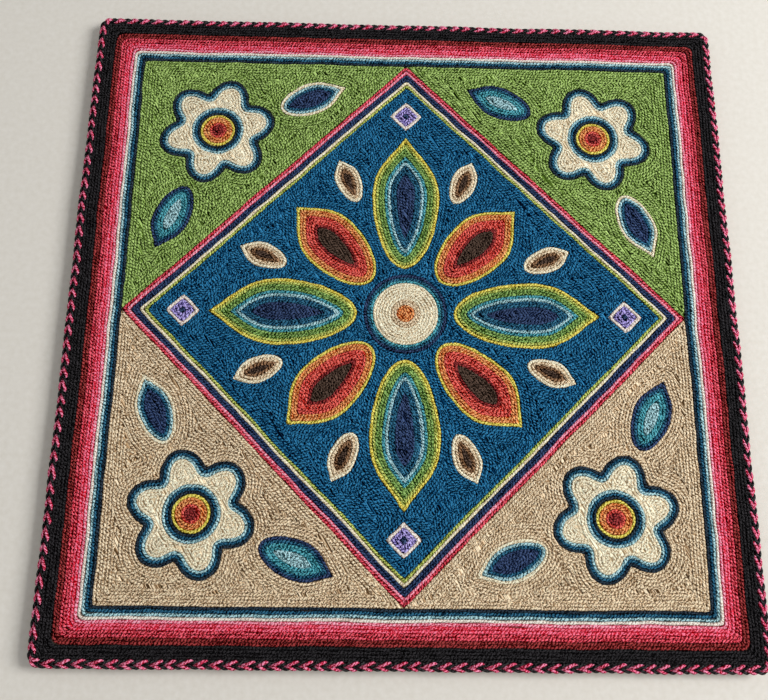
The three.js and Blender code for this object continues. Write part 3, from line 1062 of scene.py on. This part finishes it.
class PAINTING_OT_edge_cord(bpy.types.Operator):
    """Winds the two plied cords round the edge, one to the left and one to the right, as chevrons"""

    bl_idname = "painting.edge_cord"
    bl_label = "Edge cord"

    def execute(self, context):
        centres = []
        for low, high in (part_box("edge_cord_inner"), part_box("edge_cord_outer")):
            # Pulled tight against the yarn, a little closer than the solids
            half = high.x / MM - CORD_RADIUS - CORD_PULL
            centres.append((half, (low.z + high.z) / 2 / MM + CORD_LIFT))
        (inner_half, inner_height), (outer_half, outer_height) = centres
        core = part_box("plywood_board")[1].x / MM - BOARD_TURN
        lean = math.atan2(outer_height - inner_height, outer_half - inner_half)
        straight = 2 * core
        arc = ((inner_half + outer_half) / 2 - core) * math.pi / 2
        around = 4 * (straight + arc)
        turns = round(around / size("cord_lay"))
        run, base, outward = edge_course(core, straight, arc, turns * TURN_STEPS)
        # Wound by hand: the turns bunch and stretch a little
        drift = sum(
            swing * np.sin(2 * math.pi * waves * run / around + start)
            for waves, swing, start in CORD_DRIFTS)
        ply = size("ply_radius") * MM
        angles = np.arange(PLY_SIDES) / PLY_SIDES * 2 * math.pi
        section = [(-ply * math.sin(a), -ply * math.cos(a)) for a in angles]
        materials = [yarn_material("cord_pink"), yarn_material("cord_black")]
        rng = np.random.default_rng(CORD_SEED)
        for which, (half, height), hand, start in (
            ("inner", centres[0], -1, lean), ("outer", centres[1], 1, lean + math.pi),
        ):
            paths, radii = [], []
            for colour, fullness in enumerate(PLY_FULLNESS):
                wound = 2 * math.pi * turns * run / around + drift
                turn = start + colour * math.pi + hand * wound
                reach = half - core + PLY_OFF_CENTRE * np.cos(turn)
                flat = hand_laid(base + outward * reach[:, None])
                rise = height + PLY_OFF_CENTRE * np.sin(turn)
                paths.append(np.column_stack([flat, rise]) * MM)
                radii.append(np.full(len(run), fullness, dtype=np.float32))
            obj = sweep("plied_cord_" + which, section, paths, materials, [0, 1], radii)
            strand_maps(obj, paths, section, ply, None, rng)
            bpy.ops.object.shade_smooth()
            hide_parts("edge_cord_" + which)
            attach(obj, "root")
        return {"FINISHED"}


def background_ray(tree):
    """1 for rays that show the background: straight from the camera, or by way of gloss or glass."""
    ray = add_node(tree, "ShaderNodeLightPath", {})
    seen = ray.outputs["Is Camera Ray"]
    for way in ("Is Glossy Ray", "Is Transmission Ray"):
        seen = add_node(tree, "ShaderNodeMath", {0: seen, 1: ray.outputs[way]}, operation="MAXIMUM")
    return seen


def paper_material():
    """Pale, dull paper with a faint mottle, which runs out into the backdrop away from the painting."""
    material, tree, shader = new_material("pale_paper")
    mottle_length = 2.5 * MM
    place = add_node(tree, "ShaderNodeTexCoord", {}).outputs["Object"]
    mottle = add_node(
        tree, "ShaderNodeTexNoise", {"Vector": place, "Scale": 1 / mottle_length, "Detail": 3.0})
    tones = add_node(
        tree, "ShaderNodeValToRGB", {0: mottle},
        stops=((0.2, to_linear("#cac5bb")), (0.8, to_linear("#d4d0c8"))))
    set_inputs(tree, shader, {"Base Color": tones, "Roughness": 0.9})
    far = add_node(tree, "ShaderNodeVectorMath", {0: place}, operation="LENGTH")
    fade = add_node(
        tree, "ShaderNodeMapRange",
        {"Value": far.outputs["Value"], "From Min": FLOOR_NEAR, "From Max": FLOOR_FAR},
        interpolation_type="SMOOTHSTEP")
    share = add_node(
        tree, "ShaderNodeMath", {0: fade, 1: background_ray(tree)}, operation="MULTIPLY")
    pale = add_node(tree, "ShaderNodeEmission", {0: (*to_linear(BACKDROP), 1.0), 1: 1.0})
    both = add_node(tree, "ShaderNodeMixShader", {0: share, 1: shader, 2: pale})
    set_inputs(tree, tree.nodes["Material Output"], {0: both})
    return material


def soft_room():
    """A world of soft light. Its backdrop is pale to the camera and no brighter to the scene."""
    world = bpy.data.worlds.new("soft_room")
    world.use_nodes = True
    tree = world.node_tree
    light = tree.nodes["Background"]
    set_inputs(tree, light, {0: ROOM_TINT, 1: ROOM_LIGHT})
    pale = add_node(tree, "ShaderNodeBackground", {0: (*to_linear(BACKDROP), 1.0), 1: 1.0})
    both = add_node(tree, "ShaderNodeMixShader", {0: background_ray(tree), 1: light, 2: pale})
    set_inputs(tree, tree.nodes["World Output"], {0: both})
    return world


class PAINTING_OT_stage(bpy.types.Operator):
    """Adds the pale floor, the soft light and the camera"""

    bl_idname = "painting.stage"
    bl_label = "Stage"

    def execute(self, context):
        scene = context.scene
        scene.view_settings.view_transform = "Standard"
        deselect_all()
        bpy.ops.mesh.primitive_plane_add(size=FLOOR_SIZE, location=(0.0, 0.0, -FLOOR_DROP))
        floor = context.active_object
        floor.name = "floor"
        bpy.ops.object.transform_apply(location=True, rotation=True, scale=True)
        floor.data.materials.append(paper_material())

        scene.world = soft_room()
        for name, place, width, power in LAMPS:
            data = bpy.data.lights.new(name, "AREA")
            data.size = width
            data.energy = power
            lamp = new_object(name, data)
            lamp.location = place
            lamp.rotation_euler = (-Vector(place)).to_track_quat("-Z", "Y").to_euler()

        camera = new_object("camera", bpy.data.cameras.new("camera"))
        stand, aim = Vector(CAMERA_STAND) * MM, Vector(CAMERA_AIM) * MM
        camera.matrix_world = (
            Matrix.Translation(stand)
            @ (aim - stand).to_track_quat("-Z", "Y").to_matrix().to_4x4()
            @ Matrix.Rotation(math.radians(CAMERA_ROLL), 4, "Z"))
        camera.data.sensor_width = CAMERA_SENSOR
        camera.data.lens = CAMERA_LENS
        camera.data.clip_start = CAMERA_NEAREST * MM
        scene.camera = camera
        return {"FINISHED"}


class PAINTING_PT_panel(bpy.types.Panel):
    """Lists the pieces of the yarn painting"""

    bl_idname = "PAINTING_PT_panel"
    bl_label = "Yarn Painting"
    bl_space_type = "VIEW_3D"
    bl_region_type = "UI"
    bl_category = "Yarn Painting"

    def draw(self, context):
        layout = self.layout
        for operator in OPERATORS:
            layout.operator(operator.bl_idname)
        for group in (context.scene.painting_sizes, context.scene.yarn_colours):
            for key in group.__annotations__:
                layout.prop(group, key)


OPERATORS = (
    PAINTING_OT_plywood_board, PAINTING_OT_wax_bed, PAINTING_OT_stripes, PAINTING_OT_grounds,
    PAINTING_OT_rosette, PAINTING_OT_corner_motifs, PAINTING_OT_edge_cord, PAINTING_OT_stage,
)
CLASSES = (PaintingSizes, YarnColours, *OPERATORS, PAINTING_PT_panel)


def register():
    for cls in CLASSES:
        bpy.utils.register_class(cls)
    bpy.types.Scene.painting_sizes = PointerProperty(type=PaintingSizes)
    bpy.types.Scene.yarn_colours = PointerProperty(type=YarnColours)


def unregister():
    del bpy.types.Scene.yarn_colours
    del bpy.types.Scene.painting_sizes
    for cls in reversed(CLASSES):
        bpy.utils.unregister_class(cls)


def main():
    """Dresses the whole painting."""
    register()
    bpy.ops.painting.plywood_board()
    bpy.ops.painting.wax_bed()
    bpy.ops.painting.stripes()
    bpy.ops.painting.grounds()
    bpy.ops.painting.rosette()
    bpy.ops.painting.corner_motifs()
    bpy.ops.painting.edge_cord()
    bpy.ops.painting.stage()


if __name__ == "__main__":
    main()
